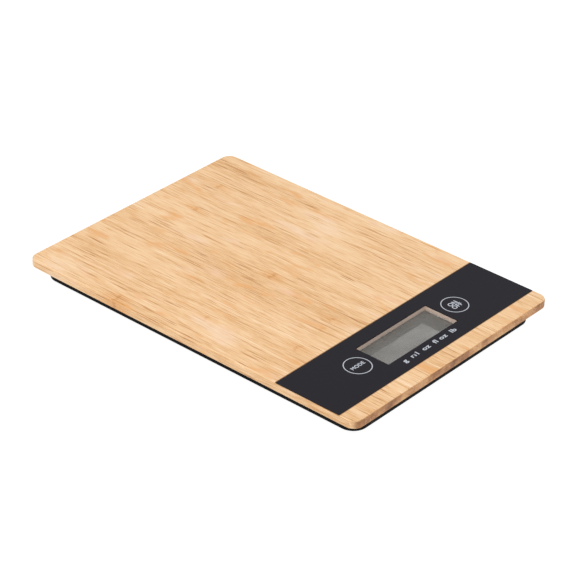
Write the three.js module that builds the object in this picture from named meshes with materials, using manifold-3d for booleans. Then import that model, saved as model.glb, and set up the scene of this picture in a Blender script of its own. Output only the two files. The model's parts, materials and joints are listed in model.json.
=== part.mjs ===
// A slim electronic kitchen scale: a bamboo board with a flush black panel, over a shallow base with four
// load-cell feet. Millimetres. X runs across the scale, Y from the display end (-) to the back (+), Z up.
// The origin is on the table, under the middle of the board.
import * as THREE from "three";
import { mergeVertices } from "three/addons/utils/BufferGeometryUtils.js";
import Module from "manifold-3d";

const wasm = await Module();
wasm.setup();

// ---- Driving dimensions ----

// Board
const boardWidth = 161;
const boardLength = 228;
const boardThickness = 4.8;
const boardCornerRadius = 6;
const boardTopEase = 1;
const boardBottomEase = 0.6;

// Base
const baseSideInset = 6.7;
const baseEndInset = 5.2;
const baseHeight = 7.9;
const baseCornerRadius = 8.5;
const baseWall = 1.6;
const baseFloor = 1.6;
const baseEdgeRound = 0.4;

// Panel strip, window and keys
const panelLength = 41.2;
const panelFrontMargin = 10.8;
const panelSideMargin = 0.5;
const panelCornerRadius = 0.4;
const filmThickness = 0.3;
const adhesiveThickness = 0.1;
const windowWidth = 57;
const windowLength = 21.4;
const windowFrontMargin = 10.5;
const lensThickness = 1;
const keyFromWindow = 11.5;
const keyFaceRadius = 6.9;
const keyTravel = 0.3;
const plungerHeadRadius = 6;
const plungerHeadHeight = 1.47;
const plungerStemRadius = 2;

// Display and circuit board
const lcdDepth = 2.9;
const lcdThickness = 2;
const lcdRim = 2.5;
const lcdRearRim = 2.8;
const lcdLedge = 1.5;
const lcdFrameWall = 2;
const lcdFrameInset = 0.2;
const zebraWidth = 1.6;
const zebraEndGap = 2.2;
const circuitThickness = 1;
const circuitGap = 3;
const circuitBackMargin = 4;
const circuitFrontMargin = 5.4;
const circuitSideMargin = 2;
const wingMargin = 5;
const switchSize = 4.5;
const switchHeight = 2.5;
const switchStemRadius = 1.7;
const switchStemLength = 1.7;
const switchWellDepth = 1.4;
const chipRadius = 5;
const chipHeight = 1.1;

// Feet and load cells
const padProtrusion = 2.3;
const footTravel = 0.3;
const capRadius = 7.3;
const capRim = 0.7;
const capStart = 0.9;
const capTop = 3.6;
const padRecess = 1;
const padEdge = 0.4;
const stakeRadius = 1.4;
const stakeShoulderRadius = 3;
const stakeHeadRadius = 2.2;
const stakeHeadHeight = 0.6;
const cellSize = 18;
const cellThickness = 1.2;
const cellRail = 2.4;
const cellTongueWidth = 6.6;
const cellTongueGap = 2.7;
const cellStandoff = 0.55;
const gaugeLength = 3.2;
const gaugeWidth = 4;
const gaugeHeight = 0.4;
const carrierWall = 1;
const carrierLip = 2.3;
const carrierCorner = 3;
const carrierFromWall = 1.4;

// Battery
const batteryFromPanel = 17;
const coinRadius = 10;
const coinHeight = 3.2;
const coinCrimp = 0.3;
const coinWell = 0.35;
const holderWall = 3.15;
const holderFrontWall = 4.15;
const holderBackWall = 1.85;
const holderDeck = 0.8;
const holderRim = 1.2;
const contactThickness = 0.25;
const contactWidth = 4;
const contactTail = 1.6;
const doorFrontMargin = 2.2;
const doorSideMargin = 1;
const doorThickness = 1.5;
const tabFromSide = 3;
const tabWidth = 4;
const tabReach = 2;
const tabThickness = 1;
const tabSwing = 2.8;
const tabHeadroom = 1.3;
const latchWidth = 8;
const latchLength = 5;
const latchSlot = 0.8;
const grooveStart = 7;
const grooveStep = 1.6;
const grooveWidth = 0.6;
const grooveDepth = 0.3;

// Fasteners and leads
const baseScrewFromWall = 4.4;
const baseScrewFromCell = 19;
const baseScrewHeadRadius = 2.4;
const baseScrewHeadHeight = 1.6;
const baseScrewShank = 1.1;
const baseScrewGrip = 3.2;
const bossRadius = 3.4;
const bossWeb = 3.4;
const boardScrewHeadRadius = 1.9;
const boardScrewHeadHeight = 1.2;
const boardScrewShank = 0.9;
const boardScrewGrip = 1.6;
const postRadius = 2.2;
const leadRadius = 0.7;
const thinLeadRadius = 0.5;

// Clearances
const faceGap = 0.03;
const filmGap = 0.05;
const panelGap = 0.25;
const slideGap = 0.2;
const doorGap = 0.15;
const footGap = 0.4;
const shankGap = 0.04;
const fitGap = 0.1;

// Fineness of round stretches
const cornerSteps = 6;
const edgeSteps = 3;
const roundSides = 24;
const smallSides = 16;
const leadSides = 8;

// ---- Places worked out from the driving dimensions ----

const baseBottom = padProtrusion;
const floorTop = baseBottom + baseFloor;
const boardBottom = baseBottom + baseHeight;
const boardTop = boardBottom + boardThickness;
const baseWidth = boardWidth - 2 * baseSideInset;
const baseLength = boardLength - 2 * baseEndInset;
const innerHalfWidth = baseWidth / 2 - baseWall;
const innerHalfLength = baseLength / 2 - baseWall;

const panelFront = -boardLength / 2 + panelFrontMargin;
const panelBack = panelFront + panelLength;
const panelY = (panelFront + panelBack) / 2;
const panelWidth = boardWidth - 2 * panelSideMargin;
const filmBottom = boardTop - filmThickness;
const recessFloor = filmBottom - adhesiveThickness - 2 * faceGap;
const windowY = panelFront + windowFrontMargin + windowLength / 2;
const keyX = windowWidth / 2 + keyFromWindow;

const lcdTop = boardTop - lcdDepth;
const lcdBottom = lcdTop - lcdThickness;
const lcdWidth = windowWidth + 2 * lcdRim;
const lcdLength = windowLength + 2 * lcdRearRim;
const lcdPocketWidth = lcdWidth + 1;
const lcdPocketLength = lcdLength + 1;
const frameWidth = lcdWidth + 2 * lcdFrameInset;
const frameLength = lcdLength + 2 * lcdFrameInset;
const circuitTop = lcdBottom - circuitGap;
const circuitBottom = circuitTop - circuitThickness;
const circuitBack = windowY + frameLength / 2 + circuitBackMargin;
const circuitFront = windowY - frameLength / 2 - circuitFrontMargin;
const wingFront = windowY - switchSize / 2 - 2 * slideGap;

const plungerTop = filmBottom - faceGap;
const plungerHeadBottom = plungerTop - plungerHeadHeight;
const switchTop = circuitTop + faceGap + switchHeight;
const switchWellFloor = switchTop - switchWellDepth;
const switchStemBottom = switchWellFloor + keyTravel + fitGap;
const switchStemTop = switchStemBottom + switchStemLength;

const carrierSize = cellSize + 2 * (fitGap + carrierWall);
const cellX = innerHalfWidth - carrierFromWall - carrierSize / 2;
const cellY = innerHalfLength - carrierFromWall - carrierSize / 2;
const cellBottom = floorTop + cellStandoff;
const cellTop = cellBottom + cellThickness;
const footHole = capRadius + footGap;
const corners = [
  { name: "front_left", x: -1, y: -1 },
  { name: "front_right", x: 1, y: -1 },
  { name: "back_left", x: -1, y: 1 },
  { name: "back_right", x: 1, y: 1 },
];

const batteryY = panelBack + batteryFromPanel;
const coinBottom = floorTop + fitGap;
const coinTop = coinBottom + coinHeight;
const deckBottom = coinTop + contactThickness + 2 * faceGap;
const deckTop = deckBottom + holderDeck;
const wellRadius = coinRadius + coinWell;
const holderHalfWidth = wellRadius + holderWall;
const holderFront = wellRadius + holderFrontWall;
const holderBack = wellRadius + holderBackWall;
const doorFront = coinRadius + doorFrontMargin;
const doorHalfWidth = coinRadius + doorSideMargin;
const doorBack = holderBack + slideGap + tabThickness;
const tabCentre = doorHalfWidth - tabFromSide;
const leadX = coinRadius - 1;
const holderBottom = floorTop + faceGap;
const holderTop = boardBottom - 2 * faceGap;

const baseScrewX = innerHalfWidth - baseScrewFromWall;
const baseScrewY = cellY - baseScrewFromCell;
const bossTop = boardBottom - faceGap;
const baseScrewSeat = baseBottom + bossWeb;
const boardScrewPlaces = [
  { x: -(keyX + 1.5), y: circuitBack - 3 },
  { x: keyX + 1.5, y: circuitBack - 3 },
  { x: -windowWidth / 2 + 8.5, y: circuitFront + 2.6 },
  { x: windowWidth / 2 - 8.5, y: circuitFront + 2.6 },
];

// ---- Solids: closed geometries, and manifold joins and cuts ----

function solid(geometry) {
  const bare = geometry.clone();
  bare.deleteAttribute("normal");
  bare.deleteAttribute("uv");
  const merged = mergeVertices(bare, 1e-4);
  const vertProperties = new Float32Array(merged.attributes.position.array);
  const triVerts = new Uint32Array(merged.index.array);
  return new wasm.Manifold(new wasm.Mesh({ numProp: 3, vertProperties, triVerts }));
}

function geometryOf(body) {
  const mesh = body.getMesh();
  const geometry = new THREE.BufferGeometry();
  geometry.setAttribute("position", new THREE.BufferAttribute(mesh.vertProperties, 3));
  geometry.setIndex(new THREE.BufferAttribute(mesh.triVerts, 1));
  geometry.computeVertexNormals();
  return geometry;
}

function cut(body, ...tools) {
  return tools.reduce((left, tool) => left.subtract(tool), body);
}

function join(body, ...others) {
  return others.reduce((whole, other) => whole.add(other), body);
}

/** A box from low to high corner. */
function block(low, high) {
  const size = high.map((value, i) => value - low[i]);
  const middle = high.map((value, i) => (value + low[i]) / 2);
  return solid(new THREE.BoxGeometry(...size).translate(...middle));
}

/** A box centred on x, y, from z = low to z = high. */
function slab(width, length, x, y, low, high) {
  return block([x - width / 2, y - length / 2, low], [x + width / 2, y + length / 2, high]);
}

/** A round body about a vertical axis; its profile is [radius, z] points from the bottom to the top. */
function turned(profile, x = 0, y = 0, sides = roundSides) {
  const points = profile.map(([radius, z]) => new THREE.Vector2(radius, z));
  return solid(new THREE.LatheGeometry(points, sides).rotateX(Math.PI / 2).translate(x, y, 0));
}

function cylinder(radius, x, y, low, high, sides = roundSides) {
  const profile = [[0, low], [radius, low], [radius, high], [0, high]];
  return turned(profile, x, y, sides);
}

/** Points round a rectangle with rounded corners, drawn in by inset. */
function roundedOutline(width, length, radius, inset) {
  const points = [];
  const quarters = [[1, 1], [-1, 1], [-1, -1], [1, -1]];
  quarters.forEach(([sideX, sideY], quarter) => {
    for (let i = 0; i <= cornerSteps; i += 1) {
      const angle = (quarter + i / cornerSteps) * Math.PI / 2;
      const reach = radius - inset;
      const x = sideX * (width / 2 - radius) + reach * Math.cos(angle);
      const y = sideY * (length / 2 - radius) + reach * Math.sin(angle);
      points.push([x, y]);
    }
  });
  return points;
}

/** A rounded plate whose outline is drawn in by a different inset at each height: layers of [inset, z]. */
function layeredPlate(width, length, radius, layers) {
  const positions = [];
  const index = [];
  const rings = layers.map(([inset, z]) =>
    roundedOutline(width, length, radius, inset).map(([x, y]) => positions.push(x, y, z) / 3 - 1));
  const count = rings[0].length;
  for (let layer = 1; layer < rings.length; layer += 1) {
    for (let i = 0; i < count; i += 1) {
      const [a, b] = [rings[layer - 1][i], rings[layer - 1][(i + 1) % count]];
      const [c, d] = [rings[layer][i], rings[layer][(i + 1) % count]];
      index.push(a, b, d, a, d, c);
    }
  }
  const bottom = positions.push(0, 0, layers[0][1]) / 3 - 1;
  const top = positions.push(0, 0, layers[layers.length - 1][1]) / 3 - 1;
  for (let i = 0; i < count; i += 1) {
    index.push(bottom, rings[0][(i + 1) % count], rings[0][i]);
    index.push(top, rings[rings.length - 1][i], rings[rings.length - 1][(i + 1) % count]);
  }
  const geometry = new THREE.BufferGeometry();
  geometry.setAttribute("position", new THREE.Float32BufferAttribute(positions, 3));
  geometry.setIndex(index);
  return solid(geometry);
}

/** Layers that round a bottom edge (from z up) or, turned over, a top edge (up to z). */
function roundedEdge(radius, z, isTop) {
  const layers = [];
  for (let i = 0; i <= edgeSteps; i += 1) {
    const angle = (i / edgeSteps) * Math.PI / 2;
    const inset = radius * (1 - Math.sin(angle));
    const rise = radius * (1 - Math.cos(angle));
    layers.push([inset, isTop ? z - rise : z + rise]);
  }
  return isTop ? layers.reverse() : layers;
}

/** A flat plate cut from a closed outline of [x, y] points. */
function plateFrom(outline, low, high) {
  const shape = new THREE.Shape(outline.map(([x, y]) => new THREE.Vector2(x, y)));
  const geometry = new THREE.ExtrudeGeometry(shape, { depth: high - low, bevelEnabled: false });
  return solid(geometry.translate(0, 0, low));
}

/** A bar whose section is [x, z] points, centred on y = 0 and as wide as width. */
function barFrom(section, width) {
  const shape = new THREE.Shape(section.map(([x, z]) => new THREE.Vector2(x, z)));
  const geometry = new THREE.ExtrudeGeometry(shape, { depth: width, bevelEnabled: false });
  return solid(geometry.translate(0, 0, -width / 2).rotateX(Math.PI / 2));
}

/** A round lead through a list of points. */
function lead(points, radius, steps) {
  const path = new THREE.CatmullRomCurve3(points.map((point) => new THREE.Vector3(...point)));
  const section = new THREE.Shape();
  section.absarc(0, 0, radius, 0, Math.PI * 2, false);
  const options = { steps, extrudePath: path, curveSegments: leadSides / 2, bevelEnabled: false };
  return solid(new THREE.ExtrudeGeometry(section, options));
}

/** A cross-head screw pointing up, with the underside of its head at seat. */
function screwUp({ headRadius, headHeight, shank, length }, x, y, seat) {
  const bevel = headHeight / 3;
  const head = seat - headHeight;
  const body = turned([
    [0, head],
    [headRadius - bevel, head],
    [headRadius, head + bevel],
    [headRadius, seat],
    [shank, seat],
    [shank, seat + length - shank],
    [0, seat + length],
  ], x, y, smallSides);
  const slot = headRadius * 1.1;
  const blade = headRadius / 4;
  const depth = head + headHeight * 0.55;
  return cut(body, slab(slot, blade, x, y, head - 1, depth), slab(blade, slot, x, y, head - 1, depth));
}

// ---- Board ----

function baseScrewPilot(corner) {
  const high = boardBottom + baseScrewGrip + fitGap;
  const radius = baseScrewShank + shankGap;
  return cylinder(radius, corner.x * baseScrewX, corner.y * baseScrewY, boardBottom - 1, high, smallSides);
}

function keyWell(x) {
  const wellFloor = plungerHeadBottom - keyTravel - 2 * slideGap;
  return join(
    cylinder(keyFaceRadius + slideGap, x, windowY, wellFloor, boardTop),
    cylinder(plungerStemRadius + slideGap, x, windowY, boardBottom - 1, boardTop, smallSides),
  );
}

function platformBoard() {
  const body = layeredPlate(boardWidth, boardLength, boardCornerRadius, [
    ...roundedEdge(boardBottomEase, boardBottom, false),
    ...roundedEdge(boardTopEase, boardTop, true),
  ]);
  const recessLength = panelLength + 2 * panelGap;
  return cut(
    body,
    slab(boardWidth + 2, recessLength, 0, panelY, recessFloor, boardTop + 1),
    slab(windowWidth, windowLength, 0, windowY, boardBottom - 1, boardTop),
    slab(lcdPocketWidth, lcdPocketLength, 0, windowY, boardBottom - 1, lcdTop + faceGap),
    keyWell(-keyX),
    keyWell(keyX),
    ...corners.map(baseScrewPilot),
  );
}

// ---- Panel ----

function panelSheet(width, length, low, high, keyHole, opening) {
  const sheet = layeredPlate(width, length, panelCornerRadius, [[0, low], [0, high]]).translate(0, panelY, 0);
  return cut(
    sheet,
    slab(windowWidth + opening, windowLength + opening, 0, windowY, low - 1, high + 1),
    cylinder(keyHole, -keyX, windowY, low - 1, high + 1),
    cylinder(keyHole, keyX, windowY, low - 1, high + 1),
  );
}

function panelOverlay() {
  return panelSheet(panelWidth, panelLength, filmBottom, boardTop, keyFaceRadius + filmGap, 0);
}

function panelAdhesive() {
  const low = recessFloor + faceGap;
  const width = panelWidth - 2 * slideGap;
  const length = panelLength - 2 * slideGap;
  return panelSheet(width, length, low, low + adhesiveThickness, keyFaceRadius + slideGap, slideGap);
}

/** The clear window lies on the display, inside the opening of the board. */
function windowLens() {
  const low = lcdTop + faceGap;
  return slab(windowWidth - 2 * fitGap, windowLength - 2 * fitGap, 0, windowY, low, low + lensThickness);
}

function keyFace(x) {
  return cylinder(keyFaceRadius, x, windowY, filmBottom, boardTop);
}

function keyPlunger(x) {
  const bottom = switchStemTop + faceGap;
  const lean = 0.4;
  return turned([
    [0, bottom],
    [plungerStemRadius, bottom],
    [plungerStemRadius, plungerHeadBottom],
    [plungerHeadRadius - lean, plungerHeadBottom],
    [plungerHeadRadius, plungerHeadBottom + lean],
    [plungerHeadRadius, plungerTop],
    [0, plungerTop],
  ], x, windowY);
}

// ---- Switches, circuit board and display ----

function switchBody(x) {
  const low = circuitTop + faceGap;
  const leg = 0.6;
  const legReach = 0.9;
  const legs = [-1, 1].map((side) => {
    const y = windowY + side * switchSize / 4;
    return slab(switchSize + 2 * legReach, leg, x, y, low, low + leg / 2);
  });
  const well = cylinder(switchStemRadius + shankGap, x, windowY, switchWellFloor, switchTop + 1, smallSides);
  return cut(join(slab(switchSize, switchSize, x, windowY, low, switchTop), ...legs), well);
}

function switchStem(x) {
  const bevel = 0.2;
  return turned([
    [0, switchStemBottom],
    [switchStemRadius, switchStemBottom],
    [switchStemRadius, switchStemTop - bevel],
    [switchStemRadius - bevel, switchStemTop],
    [0, switchStemTop],
  ], x, windowY, smallSides);
}

/** The circuit board is a T: wings reach back to the keys, and the middle runs under the display. */
function mainBoard() {
  const halfWing = keyX + wingMargin;
  const halfMiddle = frameWidth / 2 + circuitSideMargin;
  const outline = [
    [-halfMiddle, circuitFront],
    [halfMiddle, circuitFront],
    [halfMiddle, wingFront],
    [halfWing, wingFront],
    [halfWing, circuitBack],
    [-halfWing, circuitBack],
    [-halfWing, wingFront],
    [-halfMiddle, wingFront],
  ];
  const holes = boardScrewPlaces.map(({ x, y }) =>
    cylinder(boardScrewShank + fitGap, x, y, circuitBottom - 1, circuitTop + 1, smallSides));
  return cut(plateFrom(outline, circuitBottom, circuitTop), ...holes);
}

function processorBlob() {
  const steps = 5;
  const top = circuitBottom - faceGap;
  const profile = [];
  for (let i = 0; i <= steps; i += 1) {
    const angle = (i / steps) * Math.PI / 2;
    profile.push([chipRadius * Math.sin(angle), top - chipHeight * Math.cos(angle)]);
  }
  return turned([...profile, [0, top]], windowWidth / 4, windowY, smallSides);
}

/** Two sheets of glass: the upper one stops short, so the contact ledge of the lower one is bare in front. */
function lcdGlass() {
  const ledgeTop = lcdBottom + lcdThickness / 2;
  const front = windowY - lcdLength / 2;
  return cut(
    slab(lcdWidth, lcdLength, 0, windowY, lcdBottom, lcdTop),
    slab(lcdWidth + 1, 2 * lcdLedge, 0, front, ledgeTop, lcdTop + 1),
  );
}

function lcdFrame() {
  const low = circuitTop + faceGap;
  const high = lcdBottom - faceGap;
  const openingWidth = frameWidth - 2 * lcdFrameWall;
  const openingLength = frameLength - 2 * lcdFrameWall;
  return cut(
    slab(frameWidth, frameLength, 0, windowY, low, high),
    slab(openingWidth, openingLength, 0, windowY, low - 1, high + 1),
  );
}

function zebraStrip(side) {
  const y = windowY + side * (frameLength / 2 - lcdFrameWall - zebraWidth / 2 - fitGap);
  const width = frameWidth - 2 * (lcdFrameWall + zebraEndGap);
  return slab(width, zebraWidth, 0, y, circuitTop + faceGap, lcdBottom - faceGap);
}

// ---- Base ----

function footHoleCut(corner) {
  return cylinder(footHole, corner.x * cellX, corner.y * cellY, baseBottom - 1, floorTop + 1);
}

/** A low square rail round a foot hole, which the rails of the load cell sit on. */
function cellSeat(corner) {
  const [x, y] = [corner.x * cellX, corner.y * cellY];
  const high = cellBottom - faceGap;
  const outer = cellSize - 2 * slideGap;
  const inner = 2 * footHole + fitGap;
  return cut(
    slab(outer, outer, x, y, floorTop - baseFloor / 2, high),
    slab(inner, inner, x, y, baseBottom, high + 1),
  );
}

function screwBoss(corner) {
  const [x, y] = [corner.x * baseScrewX, corner.y * baseScrewY];
  return cylinder(bossRadius, x, y, floorTop - baseFloor / 2, bossTop);
}

function screwBossCut(corner) {
  const [x, y] = [corner.x * baseScrewX, corner.y * baseScrewY];
  return join(
    cylinder(baseScrewHeadRadius + slideGap, x, y, baseBottom - 1, baseScrewSeat),
    cylinder(baseScrewShank + fitGap, x, y, baseBottom - 1, bossTop + 1, smallSides),
  );
}

function circuitPost({ x, y }) {
  return cylinder(postRadius, x, y, floorTop - baseFloor / 2, circuitBottom - faceGap, smallSides);
}

function circuitPostCut({ x, y }) {
  const low = circuitTop + faceGap - circuitThickness - boardScrewGrip - fitGap;
  return cylinder(boardScrewShank + shankGap, x, y, low, circuitTop, smallSides);
}

/** Low walls that hold the battery holder on three sides, turned in at the hinge end. */
function batteryWalls() {
  const low = floorTop - baseFloor / 2;
  const high = floorTop + 2.2;
  const wall = 1;
  const side = holderHalfWidth + doorGap;
  const front = -holderFront - doorGap;
  const back = holderBack + doorGap;
  const walls = [block([-side - wall, front - wall, low], [side + wall, front, high])];
  for (const s of [-1, 1]) {
    const xs = [s * side, s * (side + wall)].sort((a, b) => a - b);
    const hookXs = [s * (doorHalfWidth + wall), s * (side + wall)].sort((a, b) => a - b);
    walls.push(block([xs[0], front - wall, low], [xs[1], back + wall, high]));
    walls.push(block([hookXs[0], back, low], [hookXs[1], back + wall, high]));
  }
  return walls.map((wallBody) => wallBody.translate(0, batteryY, 0));
}

function batteryOpening() {
  return block([-doorHalfWidth, -doorFront, baseBottom - 1], [doorHalfWidth, doorBack, floorTop + 1])
    .translate(0, batteryY, 0);
}

function baseShell() {
  const top = boardBottom - faceGap;
  const outside = layeredPlate(baseWidth, baseLength, baseCornerRadius, [
    ...roundedEdge(baseEdgeRound, baseBottom, false),
    [0, top],
  ]);
  const inside = layeredPlate(2 * innerHalfWidth, 2 * innerHalfLength, baseCornerRadius - baseWall, [
    [0, floorTop],
    [0, top + 1],
  ]);
  const tray = join(
    cut(outside, inside),
    ...corners.map(cellSeat),
    ...corners.map(screwBoss),
    ...boardScrewPlaces.map(circuitPost),
    ...batteryWalls(),
  );
  return cut(
    tray,
    ...corners.map(footHoleCut),
    ...corners.map(screwBossCut),
    ...boardScrewPlaces.map(circuitPostCut),
    batteryOpening(),
  );
}

// ---- Battery ----

function coinCell() {
  const capRadiusTop = coinRadius - 1.2;
  const crimpTop = coinTop - coinCrimp;
  return turned([
    [0, coinBottom],
    [coinRadius - coinCrimp, coinBottom],
    [coinRadius, coinBottom + coinCrimp],
    [coinRadius, crimpTop - coinCrimp],
    [coinRadius - coinCrimp, crimpTop],
    [capRadiusTop, crimpTop],
    [capRadiusTop - coinCrimp, coinTop],
    [0, coinTop],
  ], 0, batteryY);
}

function contactSlot(side) {
  const xs = [side * (coinRadius - 1), side * (coinRadius + 1)].sort((a, b) => a - b);
  const half = contactWidth / 2 + slideGap;
  return block([xs[0], -half, coinBottom], [xs[1], half, holderTop + 1]);
}

function batteryHolder() {
  const half = holderHalfWidth;
  const body = block([-half, -holderFront, holderBottom], [half, holderBack, holderTop]);
  const tabPockets = [-1, 1].map((side) => {
    const x = side * tabCentre;
    const halfTab = tabWidth / 2 + 3 * slideGap;
    const [start, height] = [holderBack - tabSwing, floorTop + tabThickness + tabHeadroom];
    return block([x - halfTab, start, holderBottom - 1], [x + halfTab, holderBack + 1, height]);
  });
  const leadNotches = [-1, 1].map((side) =>
    slab(2 * (thinLeadRadius + slideGap), 4, side * leadX, -holderFront, deckTop, holderTop + 1));
  return cut(
    body,
    cylinder(wellRadius, 0, 0, holderBottom - 1, deckBottom),
    block(
      [-half + holderRim, -holderFront + holderRim, deckTop],
      [half - holderRim, holderBack - holderRim, holderTop + 1],
    ),
    contactSlot(1),
    contactSlot(-1),
    ...tabPockets,
    ...leadNotches,
  ).translate(0, batteryY, 0);
}

/** A strip that stands beside the can of the cell and turns out over the deck. */
function positiveContact() {
  const inner = coinRadius + faceGap * 2;
  const outer = inner + contactThickness;
  const tail = outer + contactTail;
  const low = coinBottom + 0.5;
  const seat = deckTop + faceGap;
  const section = [
    [inner, low],
    [outer, low],
    [outer, seat],
    [tail, seat],
    [tail, seat + contactThickness],
    [inner, seat + contactThickness],
  ];
  return barFrom(section, contactWidth).translate(0, batteryY, 0);
}

/** A strip that lies on the cap of the cell, rises through the deck and turns out over it. */
function negativeContact() {
  const low = coinTop + faceGap;
  const rise = -(coinRadius - 0.3);
  const tip = 3;
  const tail = rise - contactThickness - contactTail;
  const seat = deckTop + faceGap;
  const section = [
    [tip, low],
    [tip, low + contactThickness],
    [rise + contactThickness, low + contactThickness],
    [rise + contactThickness, seat + contactThickness],
    [tail, seat + contactThickness],
    [tail, seat],
    [rise, seat],
    [rise, low],
  ];
  return barFrom(section, contactWidth).translate(0, batteryY, 0);
}

function batteryLead(side) {
  const z = deckTop + faceGap + contactThickness + fitGap + thinLeadRadius;
  const circuitZ = circuitTop + fitGap + thinLeadRadius;
  const y = batteryY;
  return lead([
    [side * (coinRadius + 1), y - 0.5, z],
    [side * (coinRadius + 0.6), y - 5, z],
    [side * (leadX + 0.2), y - holderFront + 4, z],
    [side * leadX, y - holderFront - 0.5, z],
    [side * leadX, (y - holderFront + circuitBack) / 2, (z + circuitZ) / 2],
    [side * leadX, circuitBack - 0.4, circuitZ],
    [side * leadX, circuitBack - 2.4, circuitZ],
  ], thinLeadRadius, 18);
}

function batteryDoor() {
  const half = doorHalfWidth - doorGap;
  const front = -doorFront + doorGap;
  const back = doorBack - doorGap;
  const top = baseBottom + doorThickness;
  const tabLow = floorTop + filmGap;
  const tabs = [-1, 1].map((side) => {
    const [left, right] = [side * tabCentre - tabWidth / 2, side * tabCentre + tabWidth / 2];
    return join(
      block([left, back - tabThickness, top - doorThickness / 2], [right, back, tabLow + tabThickness]),
      block([left, back - tabThickness, tabLow], [right, back + tabReach, tabLow + tabThickness]),
    );
  });
  const latchCuts = [-1, 1].map((side) => {
    const x = side * (latchWidth + latchSlot) / 2;
    return slab(latchSlot, latchLength, x, front + latchLength / 2 - 1, baseBottom - 1, top + 1);
  });
  const thumb = cylinder(latchWidth / 2, 0, front - 1, baseBottom - 1, baseBottom + doorThickness / 2);
  const grooves = [0, 1, 2].map((i) => {
    const y = front + grooveStart + grooveStep * i;
    return slab(latchWidth, grooveWidth, 0, y, baseBottom - 1, baseBottom + grooveDepth);
  });
  const plate = block([-half, front, baseBottom], [half, back, top]);
  return cut(join(plate, ...tabs), ...latchCuts, thumb, ...grooves).translate(0, batteryY, 0);
}

// ---- Load cells and feet ----

/** A square steel plate with a tongue, whose root is on the side that faces the middle of the scale. */
function loadCell(corner) {
  const half = cellSize / 2;
  const window = half - cellRail;
  const outline = new THREE.Shape([[-half, -half], [half, -half], [half, half], [-half, half]]
    .map(([x, y]) => new THREE.Vector2(x, y)));
  const tip = window - cellTongueGap;
  const slot = [
    [-window, -window],
    [window, -window],
    [window, window],
    [-window, window],
    [-window, cellTongueWidth / 2],
    [tip, cellTongueWidth / 2],
    [tip, -cellTongueWidth / 2],
    [-window, -cellTongueWidth / 2],
  ];
  outline.holes.push(new THREE.Path(slot.map(([x, y]) => new THREE.Vector2(x, y))));
  const plate = solid(new THREE.ExtrudeGeometry(outline, { depth: cellThickness, bevelEnabled: false }));
  const drilled = cut(plate, cylinder(stakeRadius + slideGap, 0, 0, -1, cellThickness + 1, smallSides));
  const turn = corner.x > 0 ? 0 : 180;
  return drilled.rotate([0, 0, turn]).translate(corner.x * cellX, corner.y * cellY, cellBottom);
}

function strainGauge(corner) {
  const x = corner.x * (cellX - stakeHeadRadius - slideGap * 2 - gaugeLength / 2);
  const low = cellTop + faceGap;
  return slab(gaugeLength, gaugeWidth, x, corner.y * cellY, low, low + gaugeHeight);
}

/** A square ring that fits round a load cell and presses its rails down, with a notch for the lead. */
function loadCellCarrier(corner) {
  const [x, y] = [corner.x * cellX, corner.y * cellY];
  const outer = carrierSize;
  const low = floorTop + faceGap;
  const high = boardBottom - faceGap;
  const opening = outer - 2 * (carrierWall + fitGap + carrierLip);
  return cut(
    layeredPlate(outer, outer, carrierCorner, [[0, low], [0, high]]).translate(x, y, 0),
    slab(cellSize + 2 * fitGap, cellSize + 2 * fitGap, x, y, low - 1, cellTop + faceGap),
    slab(opening, opening, x, y, low, high + 1),
    slab(outer / 2, 4 * leadRadius, x - corner.x * outer / 2, y, cellTop + 2 * leadRadius - 0.6, high + 1),
  );
}

/** The cap hangs from the tongue by a staked pin, and its shoulder leaves room for the foot's travel. */
function footCap(corner) {
  const inner = capRadius - capRim;
  const shoulder = cellBottom - footTravel - filmGap;
  const stake = cellTop + faceGap;
  return turned([
    [0, capStart + padRecess],
    [inner, capStart + padRecess],
    [inner, capStart],
    [capRadius, capStart],
    [capRadius, capTop],
    [stakeShoulderRadius, capTop],
    [stakeShoulderRadius, shoulder],
    [stakeRadius, shoulder],
    [stakeRadius, stake],
    [stakeHeadRadius, stake],
    [stakeHeadRadius, stake + stakeHeadHeight],
    [0, stake + stakeHeadHeight],
  ], corner.x * cellX, corner.y * cellY);
}

function footPad(corner) {
  const radius = capRadius - capRim - fitGap;
  return turned([
    [0, 0],
    [radius - padEdge, 0],
    [radius, padEdge],
    [radius, capStart + padRecess - faceGap],
    [0, capStart + padRecess - faceGap],
  ], corner.x * cellX, corner.y * cellY);
}

/** From the gauge, over the carrier's notch, along the floor and under the circuit board. */
function sensorLead(corner) {
  const start = cellX - stakeHeadRadius - gaugeLength;
  const notchX = cellX - cellSize / 2 - carrierWall;
  const notchZ = cellTop + 2 * leadRadius + 0.5;
  const floorZ = floorTop + leadRadius + 2 * slideGap;
  const outer = [
    [start, corner.y * cellY, notchZ],
    [notchX + 1, corner.y * cellY, notchZ],
    [notchX - 2, corner.y * cellY, notchZ - 0.6],
  ];
  const toFront = [
    [notchX - 5, -cellY + 1.5, floorZ],
    [notchX - 9, -cellY + 3, floorZ],
    [frameWidth / 2, -cellY + 4, floorZ],
  ];
  const toBack = [
    [notchX - 4, cellY - 6, floorZ],
    [notchX - 5, cellY - 16, floorZ],
    [notchX - 5, 0, floorZ],
    [notchX - 6, batteryY + 5, floorZ],
    [keyX - 4, circuitBack + 6, floorZ],
    [keyX - 6, circuitBack - 3, floorZ],
  ];
  const points = [...outer, ...(corner.y < 0 ? toFront : toBack)].map(([x, y, z]) => [corner.x * x, y, z]);
  return lead(points, leadRadius, corner.y < 0 ? 14 : 30);
}

// ---- Fasteners ----

function baseScrew(corner) {
  const size = {
    headRadius: baseScrewHeadRadius,
    headHeight: baseScrewHeadHeight,
    shank: baseScrewShank,
    length: boardBottom + baseScrewGrip - baseScrewSeat,
  };
  return screwUp(size, corner.x * baseScrewX, corner.y * baseScrewY, baseScrewSeat - faceGap);
}

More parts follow.
